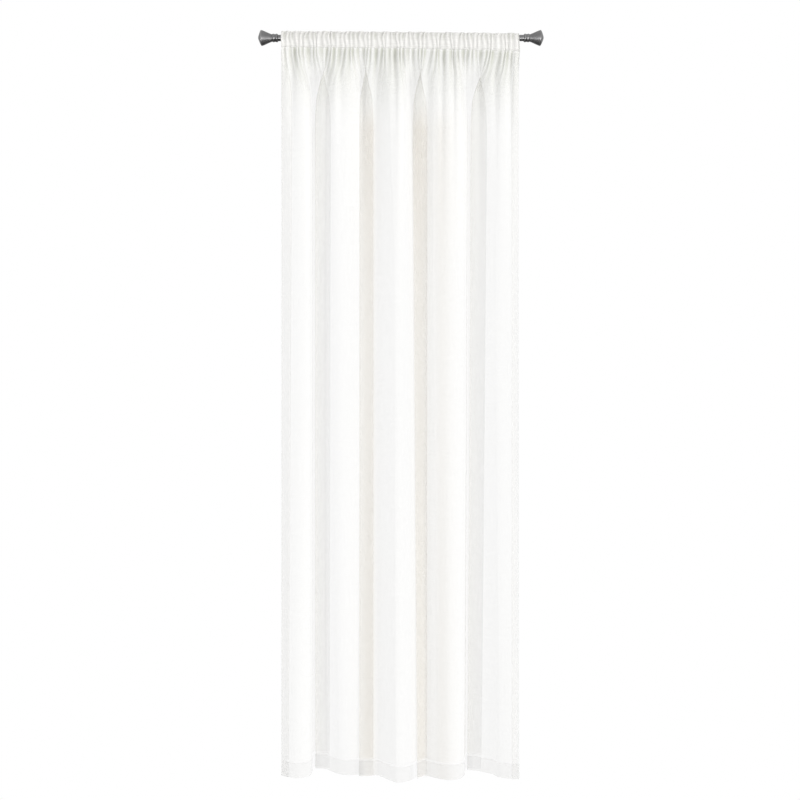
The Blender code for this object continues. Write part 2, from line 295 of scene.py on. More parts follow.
# What the cloth does from its top edge down, by height in millimetres: drop the share of the
# heading's drop, pleat the share of the pencil pleats' swing, pinch how narrow their crests
# are, lean how they lean, gather the gathers' swing in millimetres, across how far the cloth
# has gone sideways into the fold plan, layers and depth the shares of the plan's own, close
# the share of its small creases.
Fall = namedtuple("Fall", "name z drop pleat pinch lean gather across layers depth close")
FALLS = [
    Fall("top edge", 20.2, 0.9, 0.26, 4.0, 1.0, 0, 0, 0, 0, 1),
    Fall("above the rod", 4.56, 0, 0.22, 3.2, 0.35, 0, 0, 0, 0, 1),
    Fall("below the rod", -4.56, 0, 0.24, 2.4, 0, 0, 0, 0, 0, 1),
    Fall("seam under the rod", -18, 0.3, 0.30, 1.3, -0.6, 0, 0, 0, 0, 1),
    Fall("lower stitched line", -30.2, 1, 0.26, 1.5, -1.1, 0, 0, 0, 0, 1),
    Fall("under the seam", -38, 1, 0.38, 1.4, -1.2, 2.5, 0.01, 0.1, 0.01, 1),
    Fall("under the heading", -56, 1, 0.62, 1.3, -1.0, 5.0, 0.04, 0.3, 0.04, 1),
    Fall("gathers", -92, 1, 0.32, 1.4, -0.5, 4.5, 0.22, 1.6, 0.2, 1),
    Fall("gathers open", -140, 1, 0.10, 1.5, 0, 5.0, 0.6, 3.4, 0.45, 1),
    Fall("folds begin", -205, 1, 0, 1.5, 0, 4.0, 0.92, 2.0, 0.68, 1),
    Fall("folds full", -350, 1, 0, 1.5, 0, 1.5, 1, 1.1, 0.74, 1.05),
    Fall("upper fall", -800, 1, 0, 1.5, 0, 0, 1, 1, 0.80, 0.76),
    Fall("middle fall", -1350, 1, 0, 1.5, 0, 0, 1, 1, 0.87, 0.72),
    Fall("lower fall", -1900, 1, 0, 1.5, 0, 0, 1, 1, 0.94, 0.80),
    Fall("top of the hem", -2420, 1, 0, 1.5, 0, 0, 1, 1, 0.99, 0.82),
    Fall("bottom edge", -2470.4, 1, 0, 1.5, 0, 0, 1, 1, 1, 0.82),
]

# The plan of the hanging folds, from the left side hem to the right one, in millimetres.
# x_top and x_hem are the fold's place high up and at the hem, out_top and out_hem how far it
# stands out there, layer counts the layers in front of it in a tuck (a half where the cloth
# turns), plies is how closely small creases lie in it, and steps is the cloth since the row
# above, in steps of half a pleat.
Fold = namedtuple("Fold", "name x_top x_hem out_top out_hem layer plies steps")
FOLDS = [
    Fold("left side hem", -399.7, -399.7, 8, 7, 0, 0.6, 0),
    Fold("left roll", -330, -347, 27, 29, 0, 1, 4),
    Fold("left roll edge", -306, -306, 13, 10, 0, 1, 3),
    Fold("first return", -300, -300, -30, -36, 1, 0.8, 3),
    Fold("first tuck back", -298, -298, -37, -49, 2, 0.8, 2),
    Fold("first tuck right turn", -238, -243, -36, -46, 1.5, 0.2, 4),
    Fold("first tuck left turn", -291, -292, -36, -50, 0.5, 0.9, 4),
    Fold("first tuck front", -257, -257, -32, -48, 0, 0.8, 3),
    Fold("slope", -245, -245, -15, -38, 0, 0.6, 1),
    Fold("second roll", -211, -202, 5, -4, 0, 0.8, 4),
    Fold("second roll front", -160, -160, -6, 2, 0.3, 1.1, 2),
    Fold("second tuck right turn", -92, -92, -14, 1, 1.5, 1.2, 5),
    Fold("second tuck left turn", -140, -140, -10, 10, 0.5, 1.25, 3),
    Fold("second tuck front", -101, -101, -13, 4, 0, 1.7, 3),
    Fold("middle valley", -79, -79, -6, -0.5, 0, 1.2, 2),
    Fold("middle roll slope", -52, -52, 22, 25, 0, 1, 3),
    Fold("middle roll", -18, -18, 48, 54.5, 0, 1, 3),
    Fold("middle roll top", -3, -3, 48, 56, 0, 1, 1),
    Fold("middle roll edge", 16, 24, 38, 46, 0, 0.7, 2),
    Fold("third tuck back", 29, 41, 16, 35, 1, 1.0, 2),
    Fold("third tuck slope", 43, 57, -6, 19, 2, 1.25, 2),
    Fold("third tuck right turn", 90, 88, -15, -8, 2, 1.1, 3),
    Fold("third tuck left turn", 40, 55, -8, 21, 0.5, 1.3, 4),
    Fold("third tuck front", 62, 67, -11, 9, 0, 1.9, 2),
    Fold("third valley", 80, 80, -8, -4.5, 0, 1.7, 1),
    Fold("fourth roll slope", 108, 108, 10, 10, 0, 1.35, 2),
    Fold("fourth roll rise", 135, 135, 22, 23, 0, 1.6, 2),
    Fold("fourth roll", 168, 168, 26, 29.5, 0, 1.3, 3),
    Fold("fourth roll edge", 204, 202, 12, 14, 0, 1, 3),
    Fold("second return", 224, 218, -20, -26, 1, 0.8, 3),
    Fold("fourth tuck back", 230, 221, -34, -55, 2, 0.8, 3),
    Fold("fourth tuck right turn", 292, 276, -34, -55, 1.5, 0.3, 4),
    Fold("fourth tuck left turn", 236, 227, -36, -57, 0.5, 0.9, 4),
    Fold("fourth tuck front", 268, 266, -30, -50, 0, 0.8, 3),
    Fold("right slope", 306, 306, -8, -29, 0, 0.8, 3),
    Fold("right roll rise", 331, 331, 4, -3.5, 0, 0.9, 3),
    Fold("right roll", 371, 371, 2, 9, 0, 0.9, 3),
    Fold("right side hem", 395.4, 395.4, -3, 8, 0, 0.6, 2),
]

# The tunnel's front, by height and how far out it lies, in millimetres
Tunnel = namedtuple("Tunnel", "height out")
TUNNEL_FRONT = [Tunnel(24, 3.0), Tunnel(17, 5.5), Tunnel(10, 10.5), Tunnel(5, 12.9),
                Tunnel(0, 13.4), Tunnel(-6, 13.3), Tunnel(-14, 12.4), Tunnel(-24, 10.0),
                Tunnel(-31, 7.5), Tunnel(-38, 4.5), Tunnel(-48, 0.5), Tunnel(-70, -4.0),
                Tunnel(-100, -3.0), Tunnel(-140, 0), Tunnel(-205, 0)]

# Soft gathers under the heading: the hollows between them, left to right, in millimetres
GATHER_HOLLOWS = [-412, -365, -305, -250, -204, -131, -84, -17, 10, 37, 91, 138, 176, 211, 265,
                  319, 366, 412]
HOLLOW_PINCH = 2.2

# Uneven waves along the heading: the mean, and rows of (size, rate, start) that swing about it.
# They say how the pleats lean over the rod and under it, where they stand, how big they are,
# how ragged the top edge is, and how many plies and how much painted shade the hollows get.
# The lean and the crowding fade over a few columns of cloth at the sides.
LEAN_OVER_ROD = 3.4, ((4.2, 0.37, 0.5), (1.4, 0.93, 2.1))
LEAN_UNDER_ROD = 2.2, ((3.0, 0.41, 4.0), (1.0, 1.07, 1.0))
HEADING_SHIFT = 0.0, ((1.4, 0.53, 0.0),)
PLEAT_SHIFT = -2.0, ((1.2, 0.57, 0.0),)
PLEAT_SIZE = 0.95, ((0.12, 2.3, 0.7), (0.07, 5.1, 0.0))
RAGGED_TOP = 0.0, ((1.0, 2.3, 0.0), (0.6, 0.9, 0.0))
HOLLOW_SHADE = 0.9, ((0.4, 2.9, 1.0), (0.3, 1.3, 0.0))
LEAN_FADE = 9
SIDE_FADE = 10

# How many plies the cloth counts for: in the heading, at the free edge of the top turning, and
# how many more crowd below the seam, down to a height in millimetres where they have opened
# out. Each of the hem's two layers counts for a share, which small creases change little.
# Cloth behind a tuck counts for less in the hem, below the seam and where the tuck opens, and
# so do the crests of the pleats.
HEADING_PLIES = 4.0
TURNED_END_PLIES = 0.4
CROWD_PLIES = 2.4
CROWD_END = -300
HEM_SHARE = 0.62
HEM_PLIES = 0.75
HEM_EVENNESS = 0.6
BEHIND_IN_HEM = 0.8
BEHIND_IN_CROWD = 0.8
TUCK_OPENING = 0.6
CREST_THINNING = 0.4

# How much shade is painted into the cloth's colour in its hollows: over the rod, where it is
# most at one height and fades over a range of heights in millimetres, under the rod, below the
# seam, on the seam's own edge and the turning's as a share of that, and in the fall. Then how
# much brownish shade is painted in close creases, up to a most, and on cloth behind a tuck.
UPPER_SHADE = 0.34
UPPER_SHADE_HEIGHT = 3
UPPER_SHADE_RANGE = 19
LOWER_SHADE = 0.06
SEAM_SHADE = 0.90
SEAM_EDGE_SHARE = 0.2
TURNING_EDGE_SHARE = 0.85
FALL_SHADE = 0.10
WARMTH = 0.55
WARM_CREASES = 0.7
BEHIND_WARMTH = 0.12

# How the plies and the painted shade below the seam are made up: one share for all of the
# cloth and one for its creases, and how fast each fades downwards
SeamMix = namedtuple("SeamMix", "even even_fade creased creased_fade")
CROWD_MIX = SeamMix(0.7, 1.2, 0.8, 4.0)
SHADE_MIX = SeamMix(0.86, 1.45, 0.36, 4.5)

# The yarn's darkest and lightest tints, the painted shade it goes to in hollows, and the painted
# brownish shade it goes to in close creases and behind tucks
YARN_DARK = (0.92, 0.91, 0.89, 1.0)
YARN_LIGHT = (0.955, 0.95, 0.935, 1.0)
PAINTED_SHADE_TINT = (0.52, 0.53, 0.45, 1.0)
PAINTED_WARM_TINT = (0.565, 0.48, 0.35, 1.0)

FallPlace = namedtuple("FallPlace", Fall._fields[2:])
FoldPlace = namedtuple("FoldPlace", Fold._fields[1:7])


def between(low, high, share):
    """The value at a share of the way from low to high."""
    return low + (high - low) * share


def share_of_way(value, start, end):
    """Which share of the way from start to end a value has come, from 0 to 1."""
    return min(max((value - start) / (end - start), 0.0), 1.0)


def swing(uneven, place):
    """The value of an uneven wave at a place."""
    mean, rows = uneven
    return mean + sum(size * sin(rate * place + start) for size, rate, start in rows)


fall_knots = [-fall.z for fall in FALLS]
fall_rows = [fall[2:] for fall in FALLS]
tunnel_knots = [-row.height for row in TUNNEL_FRONT]
tunnel_rows = [(row.out,) for row in TUNNEL_FRONT]
fold_knots = [sum(fold.steps for fold in FOLDS[:count + 1]) for count in range(len(FOLDS))]
fold_rows = [fold[1:7] for fold in FOLDS]
cut_columns = [cut / CUTS for cut in range(LAST_COLUMN * CUTS + 1)]
fold_columns = [FoldPlace(*smooth_through(fold_knots, fold_rows, column / 2))
                for column in cut_columns]


def fall_at(z):
    """What the cloth does at a height in millimetres."""
    return FallPlace(*smooth_through(fall_knots, fall_rows, -z))


def heading_drop(column):
    """How much lower the cloth hangs at a column than at the left side hem."""
    side = 2 * column / LAST_COLUMN - 1
    return DROP_MIDDLE + DROP_SLOPE * side + DROP_CURVE * side * side


def pleat_at(column):
    """The number of the pencil pleat at a column, and 1 on its crest to 0 in its hollows."""
    crest = 0.5 + 0.5 * cos(2 * pi * (column - 0.5) / PLEAT_COLUMNS)
    return (column + 1) // PLEAT_COLUMNS, crest


def pleat_lean(column, lean):
    """Sideways lean of the pencil pleats, which kink at the middle cord under the rod."""
    if lean > 0:
        from_side = min((column + 1) / LEAN_FADE, (LAST_COLUMN - column + 1) / LEAN_FADE, 1.0)
        return lean * swing(LEAN_OVER_ROD, column) * from_side * MM
    return -lean * swing(LEAN_UNDER_ROD, column) * MM


def back_swing_out(height):
    """How far out the pleats' back swings lie: clear of the rod, and close at the seams."""
    place = min(max(-height / MM, tunnel_knots[0]), tunnel_knots[-1])
    return smooth_through(tunnel_knots, tunnel_rows, place)[0] * MM


def gather_wave(x):
    """From -1 in a hollow between two soft gathers to 1 on a gather."""
    place = x / MM
    for left, right in zip(GATHER_HOLLOWS, GATHER_HOLLOWS[1:]):
        if place <= right:
            break
    hollow = 0.5 + 0.5 * cos(2 * pi * (place - left) / (right - left))
    return 1 - 2 * hollow ** HOLLOW_PINCH


def cloth_point(column, z):
    """A point of the panel's front, at a column of cloth and a height in millimetres."""
    fall = fall_at(z)
    fold = fold_columns[round(column * CUTS)]
    pleat_share = max(fall.pleat, 0.0)
    across = min(max(fall.across, 0.0), 1.0)
    down = share_of_way(z, FALL_TOP, FALL_HEM)
    pleat, crest = pleat_at(column)
    height = z * MM - fall.drop * heading_drop(column)
    heading_x = between(LEFT_EDGE, RIGHT_EDGE, column / LAST_COLUMN)
    heading_x += swing(HEADING_SHIFT, column) * MM
    x = between(heading_x, between(fold.x_top, fold.x_hem, down) * MM, across)
    x += pleat_lean(column, fall.lean)
    rounded = PLEAT_ROUND * sin(4 * pi * (column - 0.5) / PLEAT_COLUMNS)
    x += pleat_share * (rounded + swing(PLEAT_SHIFT, column) * MM)
    pleat_out = 2 * PLEAT_SWING * swing(PLEAT_SIZE, pleat) * crest ** fall.pinch
    fold_out = between(fold.out_top, fold.out_hem, down ** 3) * MM
    out = back_swing_out(height) + pleat_share * pleat_out + fall.depth * fold_out
    out += fall.gather * MM * gather_wave(x) - fall.layers * fold.layer * LAYER_GAP
    if z >= 0:
        height += swing(RAGGED_TOP, pleat) * MM * z / TOP_EDGE
    return Vector((x, -out, height))


def seam_mix(mix, near, bare, creased):
    """A share of plies or shade below the seam."""
    even = mix.even * bare * near ** mix.even_fade
    return even + mix.creased * creased * near ** mix.creased_fade


def crowding(column, z):
    """How many plies of cloth lie at a place, how much shade of the creases about it is painted
    into its colour, and how much brownish shade is painted where they lie close or behind a
    tuck."""
    pleat, crest = pleat_at(column)
    uneven = swing(HOLLOW_SHADE, pleat)
    if z > STITCH_LINE + 1:
        # Painted shade in the heading's hollows, most just over the rod
        lower = ((z - UPPER_SHADE_HEIGHT) / UPPER_SHADE_RANGE) ** 2
        shade = max(UPPER_SHADE * (1 - lower), LOWER_SHADE)
        return HEADING_PLIES, shade * (1 - crest ** 3) * uneven, 0.0
    near = share_of_way(z, CROWD_END, STITCH_LINE)
    fold = fold_columns[round(column * CUTS)]
    behind = min(max(fold.layer, 0.0), 1.0)
    opening = 4 * near * (1 - near) * behind * share_of_way(fold.plies, 1.0, 0.8)
    creased = between(fold.plies, min(2 - fold.plies, 1.0), min(1.5 * near, 1.0))
    creased *= 1 - TUCK_OPENING * opening
    # Brownish shade painted into close creases and into cloth behind a tuck
    warm = WARMTH * min(max(creased - 1, 0.0), WARM_CREASES)
    warm = max(warm, BEHIND_WARMTH * behind * (1 - near))
    fallen = creased * fall_at(z).close
    if z < HEM_TOP + 1:
        hem_plies = between(fallen, HEM_PLIES, HEM_EVENNESS)
        return HEM_SHARE * (1 - BEHIND_IN_HEM * behind) * hem_plies, 0.0, warm
    share = min((min(column, LAST_COLUMN - column) + 1) / SIDE_FADE, 1.0)
    share *= 1 - BEHIND_IN_CROWD * behind * (1 - near ** 3)
    hollow = (1 - crest) ** 1.5
    bare = 1 - CREST_THINNING * (1 - hollow) ** 2 * near ** 3
    crowded = CROWD_PLIES * share * seam_mix(CROWD_MIX, near, bare, hollow * uneven)
    # Shade painted into the colour below the seam, most in the hollows
    shade = SEAM_SHADE * share * seam_mix(SHADE_MIX, near, bare, hollow * uneven)
    if z > STITCH_LINE - 1:
        return HEADING_PLIES, SEAM_EDGE_SHARE * shade, warm
    if z > TURNING_EDGE - 1:
        return creased + TURNING_EDGE_SHARE * crowded, TURNING_EDGE_SHARE * shade, warm
    return fallen + crowded, FALL_SHADE * bare + shade, warm


def spread(top, bottom, rows):
    """Heights from top to just above bottom, in even rows."""
    return [between(top, bottom, row / rows) for row in range(rows)]


front_heights = (spread(TOP_EDGE, STITCH_LINE, 16) + [STITCH_LINE]
                 + spread(TURNING_EDGE, GATHERS_END, 21) + spread(GATHERS_END, FALL_TOP, 6)
                 + spread(FALL_TOP, HEM_TOP + HEM_EASE, 20) + [HEM_TOP + HEM_EASE]
                 + spread(HEM_TOP, FALL_HEM, 4) + [FALL_HEM])
front = [[cloth_point(column, z) for column in cut_columns] for z in front_heights]


def grid_normal(points, row, column):
    """Which way the cloth's front faces at a point of a grid of points."""
    above = points[max(row - 1, 0)][column]
    below = points[min(row + 1, len(points) - 1)][column]
    left = points[row][max(column - 1, 0)]
    right = points[row][min(column + 1, len(points[0]) - 1)]
    return (above - below).cross(right - left).normalized()


# Rows of the cut cloth, as (row of the front, how many plies behind): down behind the
# heading, over the top edge, down the front, round the bottom edge and up behind the hem.
last_front = len(front_heights) - 1
heading_rows = [row for row, z in enumerate(front_heights) if z > TURNING_EDGE - 1]
hem_rows = [row for row, z in enumerate(front_heights) if z < HEM_TOP + 1]
cut_rows = [(row, 1.0) for row in heading_rows[::-2]] + [(0, 0.5)]
cut_rows += [(row, 0.0) for row in range(last_front + 1)]
cut_rows += [(last_front, 0.5)] + [(row, 1.0) for row in reversed(hem_rows)]
last_cut = LAST_COLUMN * CUTS
side_columns = [(column, 1.0) for column in range(SIDE_HEM * CUTS, 0, -1)] + [(0, 0.5)]
cut_across = side_columns + [(column, 0.0) for column in range(last_cut + 1)]
cut_across += [(last_cut - column, ply) for column, ply in reversed(side_columns)]

bm = bmesh.new()
bmesh.ops.create_grid(bm, x_segments=len(cut_across) - 1, y_segments=len(cut_rows) - 1, size=0.5)
bm.verts.ensure_lookup_table()
uv_layer = bm.loops.layers.uv.new("cloth")
# Per point: plies, and the painted shade and painted brownish shade of the cloth's colour
plies = bm.verts.layers.float.new("plies")
hollow = bm.verts.layers.float.new("hollow")
warm = bm.verts.layers.float.new("warm")
cloth_place = {}
for vert in bm.verts:
    across = round((vert.co.x + 0.5) * (len(cut_across) - 1))
    down = round((0.5 - vert.co.y) * (len(cut_rows) - 1))
    column, side_ply = cut_across[across]
    row, turned_ply = cut_rows[down]
    normal = grid_normal(front, row, column)
    behind = turned_ply * TURNED_PLY + side_ply * SIDE_PLY * (1 - 2 * turned_ply)
    vert.co = front[row][column] - normal * behind
    if turned_ply == 0.5:
        vert.co.z += EDGE_FOLD if row == 0 else -EDGE_FOLD
    if side_ply == 0.5:
        vert.co.x += -SIDE_FOLD if column == 0 else SIDE_FOLD
    vert[plies], vert[hollow], vert[warm] = crowding(cut_columns[column], front_heights[row])
    if turned_ply > 0 and front_heights[row] == TURNING_EDGE:
        vert[plies], vert[hollow] = TURNED_END_PLIES, 0.0
    cloth_place[vert] = (column / last_cut * FLAT_WIDTH, -front_heights[row] * MM)
for face in bm.faces:
    for loop in face.loops:
        loop[uv_layer].uv = cloth_place[loop.vert]
bmesh.ops.triangulate(bm, faces=bm.faces)


def voile(name, cover, glow):
    """Sheer plain-weave cloth: cover is the share of a ply that its threads fill, and glow the
    share of light that its threads let through. Its colour takes painted shade in hollows and
    painted brownish shade in close creases, as the cloth's attributes say."""
    material = bpy.data.materials.new(name)
    material.use_nodes = True
    tree = material.node_tree
    shader = tree.nodes["Principled BSDF"]
    output = tree.nodes["Material Output"]
    shader.inputs["Roughness"].default_value = 0.85
    shader.inputs["Sheen Weight"].default_value = 0.15
    shader.inputs["Sheen Roughness"].default_value = 0.5
    cloth = add_node(tree, "ShaderNodeUVMap", uv_map="cloth")
    warp_stretch = add_node(tree, "ShaderNodeMapping", Scale=(700.0, 14.0, 1.0))
    weft_stretch = add_node(tree, "ShaderNodeMapping", Scale=(16.0, 620.0, 1.0))
    warp_slubs = add_node(tree, "ShaderNodeTexNoise", Scale=1.0, Detail=2.0, Roughness=0.5)
    weft_slubs = add_node(tree, "ShaderNodeTexNoise", Scale=1.0, Detail=2.0, Roughness=0.5)
    slubs = add_node(tree, "ShaderNodeMath", operation="ADD")
    weave = add_node(tree, "ShaderNodeTexChecker", Scale=1.0)
    weave_stretch = add_node(tree, "ShaderNodeMapping", Scale=(2200.0, 2200.0, 1.0))
    weave_share = add_node(tree, "ShaderNodeMath", operation="MULTIPLY_ADD")
    weave_share.inputs[1].default_value = 0.10
    tint = add_node(tree, "ShaderNodeValToRGB")
    tint.color_ramp.elements[0].position = 0.35
    tint.color_ramp.elements[0].color = YARN_DARK
    tint.color_ramp.elements[1].position = 0.70
    tint.color_ramp.elements[1].color = YARN_LIGHT
    # Painted shade: the hollow attribute darkens the colour towards a shade tint
    painted_shade_amount = add_node(tree, "ShaderNodeAttribute", attribute_name="hollow")
    painted_shade_mix = add_node(tree, "ShaderNodeMix", data_type="RGBA")
    painted_shade_mix.inputs[7].default_value = PAINTED_SHADE_TINT
    # Painted brownish shade: darkens and browns the colour in close creases and behind tucks
    painted_warm_amount = add_node(tree, "ShaderNodeAttribute", attribute_name="warm")
    painted_warm_mix = add_node(tree, "ShaderNodeMix", data_type="RGBA")
    painted_warm_mix.inputs[7].default_value = PAINTED_WARM_TINT
    half = add_node(tree, "ShaderNodeMath", operation="MULTIPLY")
    half.inputs[1].default_value = 0.5
    cover_share = add_node(tree, "ShaderNodeMapRange", From_Min=0.7, From_Max=1.4,
                           To_Min=cover - 0.03, To_Max=cover + 0.03)
    hole = add_node(tree, "ShaderNodeMath", operation="SUBTRACT")
    hole.inputs[0].default_value = 1.0
    ply_count = add_node(tree, "ShaderNodeAttribute", attribute_name="plies")
    holes = add_node(tree, "ShaderNodeMath", operation="POWER")
    full = add_node(tree, "ShaderNodeMath", operation="SUBTRACT")
    full.inputs[0].default_value = 1.0
    bump = add_node(tree, "ShaderNodeBump", Strength=0.2, Distance=0.08 * MM)
    through = add_node(tree, "ShaderNodeBsdfTranslucent")
    clear = add_node(tree, "ShaderNodeBsdfTransparent")
    thin = add_node(tree, "ShaderNodeMath", operation="POWER")
    thin.inputs[1].default_value = -1.0
    glow_share = add_node(tree, "ShaderNodeMath", operation="MULTIPLY")
    glow_share.inputs[1].default_value = glow
    thread = add_node(tree, "ShaderNodeMixShader")
    sheer = add_node(tree, "ShaderNodeMixShader")
    links = tree.links
    links.new(cloth.outputs["UV"], warp_stretch.inputs["Vector"])
    links.new(cloth.outputs["UV"], weft_stretch.inputs["Vector"])
    links.new(cloth.outputs["UV"], weave_stretch.inputs["Vector"])
    links.new(warp_stretch.outputs["Vector"], warp_slubs.inputs["Vector"])
    links.new(weft_stretch.outputs["Vector"], weft_slubs.inputs["Vector"])
    links.new(weave_stretch.outputs["Vector"], weave.inputs["Vector"])
    links.new(warp_slubs.outputs["Fac"], slubs.inputs[0])
    links.new(weft_slubs.outputs["Fac"], slubs.inputs[1])
    links.new(weave.outputs["Fac"], weave_share.inputs[0])
    links.new(slubs.outputs["Value"], weave_share.inputs[2])
    links.new(slubs.outputs["Value"], half.inputs[0])
    links.new(half.outputs["Value"], tint.inputs["Fac"])
    links.new(painted_shade_amount.outputs["Fac"], painted_shade_mix.inputs[0])
    links.new(tint.outputs["Color"], painted_shade_mix.inputs[6])
    links.new(painted_warm_amount.outputs["Fac"], painted_warm_mix.inputs[0])
    links.new(painted_shade_mix.outputs[2], painted_warm_mix.inputs[6])
    links.new(painted_warm_mix.outputs[2], shader.inputs["Base Color"])
    links.new(painted_warm_mix.outputs[2], through.inputs["Color"])
    links.new(weave_share.outputs["Value"], cover_share.inputs["Value"])
    links.new(cover_share.outputs["Result"], hole.inputs[1])
    links.new(hole.outputs["Value"], holes.inputs[0])
    links.new(ply_count.outputs["Fac"], holes.inputs[1])
    links.new(holes.outputs["Value"], full.inputs[1])
    links.new(weave_share.outputs["Value"], bump.inputs["Height"])
    links.new(bump.outputs["Normal"], shader.inputs["Normal"])
    links.new(bump.outputs["Normal"], through.inputs["Normal"])
    links.new(shader.outputs["BSDF"], thread.inputs[1])
    links.new(through.outputs["BSDF"], thread.inputs[2])
    links.new(ply_count.outputs["Fac"], thin.inputs[0])
    links.new(thin.outputs["Value"], glow_share.inputs[0])
    links.new(glow_share.outputs["Value"], thread.inputs["Fac"])
    links.new(full.outputs["Value"], sheer.inputs["Fac"])
    links.new(clear.outputs["BSDF"], sheer.inputs[1])
    links.new(thread.outputs["Shader"], sheer.inputs[2])
    links.new(sheer.outputs["Shader"], output.inputs["Surface"])
    return material


panel_voile = voile("sheer white voile", 0.18, 0.25)
panel = link_piece("voile_panel", bm, panel_voile)
ply = panel.modifiers.new("thickness", "SOLIDIFY")
ply.thickness = VOILE_THICKNESS
ply.offset = 0.0
ply.use_quality_normals = True
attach(panel, "root")
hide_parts("curtain_panel")

# --- Panel stitches ------------------------------------------------------------------------
# White polyester lockstitch along the top edge, the seam under the rod, the top of the bottom
# hem and down both side hems. Each stitch is a short bead that sinks a little into the cloth.

STITCH_SHARE = 0.74
STITCH_WIDTH = 0.5 * MM
STITCH_HEIGHT = 0.34 * MM
STITCH_LIFT = 0.25 * STITCH_HEIGHT
STITCH_PITCH = 3.4 * MM
HEADING_STITCH_ROWS = (1, 15)
SIDE_STITCH = 7
THREAD_DARK = (0.86, 0.855, 0.83, 1.0)
THREAD_LIGHT = (0.95, 0.945, 0.93, 1.0)


def lay_stitches(bm, stitch, line, outward, pitch):
    """Lay a stitch along each step of a line, or one every pitch where the steps are long."""
    stitch_corners, stitch_faces = stitch
    for here, there, face in zip(line, line[1:], outward):
        count = 1 if pitch is None else max(round((there - here).length / pitch), 1)
        step = (there - here) / count
        along = step.normalized()
        sideways = face.cross(along).normalized()
        turn = Matrix((along, sideways, along.cross(sideways))).transposed()
        for number in range(count):
            middle = here + step * (number + 0.5)
            corners = [bm.verts.new(middle + turn @ Vector((
                corner.x * step.length * STITCH_SHARE, corner.y * STITCH_WIDTH,
                corner.z * STITCH_HEIGHT))) for corner in stitch_corners]
            for face_corners in stitch_faces:
                bm.faces.new([corners[index] for index in face_corners])


def one_stitch():
    """The corners and faces of one stitch, a unit long."""
    bm = bmesh.new()
    bmesh.ops.create_uvsphere(bm, u_segments=4, v_segments=2, radius=0.5)
    bmesh.ops.rotate(bm, cent=(0, 0, 0), matrix=Matrix.Rotation(pi / 2, 3, "Y"), verts=bm.verts)
    bm.verts.index_update()
    corners = [vert.co.copy() for vert in bm.verts]
    faces = [[vert.index for vert in face.verts] for face in bm.faces]
    bm.free()
    return corners, faces


def sewing_thread(name):
    """White twisted polyester thread."""
    material = bpy.data.materials.new(name)
    material.use_nodes = True
    tree = material.node_tree
    shader = tree.nodes["Principled BSDF"]
    shader.inputs["Roughness"].default_value = 0.55
    shader.inputs["Sheen Weight"].default_value = 0.2
    place = add_node(tree, "ShaderNodeTexCoord")
    twist = add_node(tree, "ShaderNodeTexNoise", Scale=2600.0, Detail=2.0, Roughness=0.5)
    tint = add_node(tree, "ShaderNodeValToRGB")
    tint.color_ramp.elements[0].position = 0.35
    tint.color_ramp.elements[0].color = THREAD_DARK
    tint.color_ramp.elements[1].position = 0.65
    tint.color_ramp.elements[1].color = THREAD_LIGHT
    bump = add_node(tree, "ShaderNodeBump", Strength=0.3, Distance=0.05 * MM)
    tree.links.new(place.outputs["Object"], twist.inputs["Vector"])
    tree.links.new(twist.outputs["Fac"], tint.inputs["Fac"])
    tree.links.new(tint.outputs["Color"], shader.inputs["Base Color"])
    tree.links.new(twist.outputs["Fac"], bump.inputs["Height"])
    tree.links.new(bump.outputs["Normal"], shader.inputs["Normal"])
    return material


def cloth_line(row_list, column_list, behind, side):
    """Points on a face of the sewn cloth, and which way that face looks."""
    points = []
    outward = []
    lift = 0.5 * VOILE_THICKNESS + STITCH_LIFT
    for row in row_list:
        for column in column_list:
            normal = grid_normal(front, row, column)
            points.append(front[row][column] - normal * (behind - side * lift))
            outward.append(normal * side)
    return points, outward


hem_row = front_heights.index(HEM_TOP)
every_column = range(last_cut + 1)
rows_down = range(1, hem_row + 1)
stitch = one_stitch()
bm = bmesh.new()
for row in HEADING_STITCH_ROWS:
    lay_stitches(bm, stitch, *cloth_line([row], every_column, 0.0, 1), None)
for behind, side in ((0.0, 1), (TURNED_PLY, -1)):
    lay_stitches(bm, stitch, *cloth_line([hem_row], every_column, behind, side), None)
for column in (SIDE_STITCH, last_cut - SIDE_STITCH):
    for behind, side in ((0.0, 1), (SIDE_PLY, -1)):
        lay_stitches(bm, stitch, *cloth_line(rows_down, [column], behind, side), STITCH_PITCH)
white_thread = sewing_thread("white sewing thread")
panel_stitches = link_piece("panel_stitches", bm, white_thread)
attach(panel_stitches, "root")

# --- Heading tape --------------------------------------------------------------------------
# A woven polyester tape, about 50 mm deep, with three draw cords woven into it. It is sewn to
# the back of the heading along both its edges, and the rod runs between it and the panel.

TAPE_TOP = 18.5
TAPE_BOTTOM = -29.0
TAPE_THICKNESS = 0.5 * MM
CORD_BULGE = 0.7 * MM
CORD_HEIGHTS = (13.0, -3.0, -22.0)
CORD_WIDTH = 2.2
SEAM_EASE = 10.0
SEAM_GAP = 0.9 * MM
FLAT_TOPS = 1.5
TAPE_ROWS = 32
TAPE_STITCH_ROWS = (1, 31)
TAPE_PLIES = 3.0


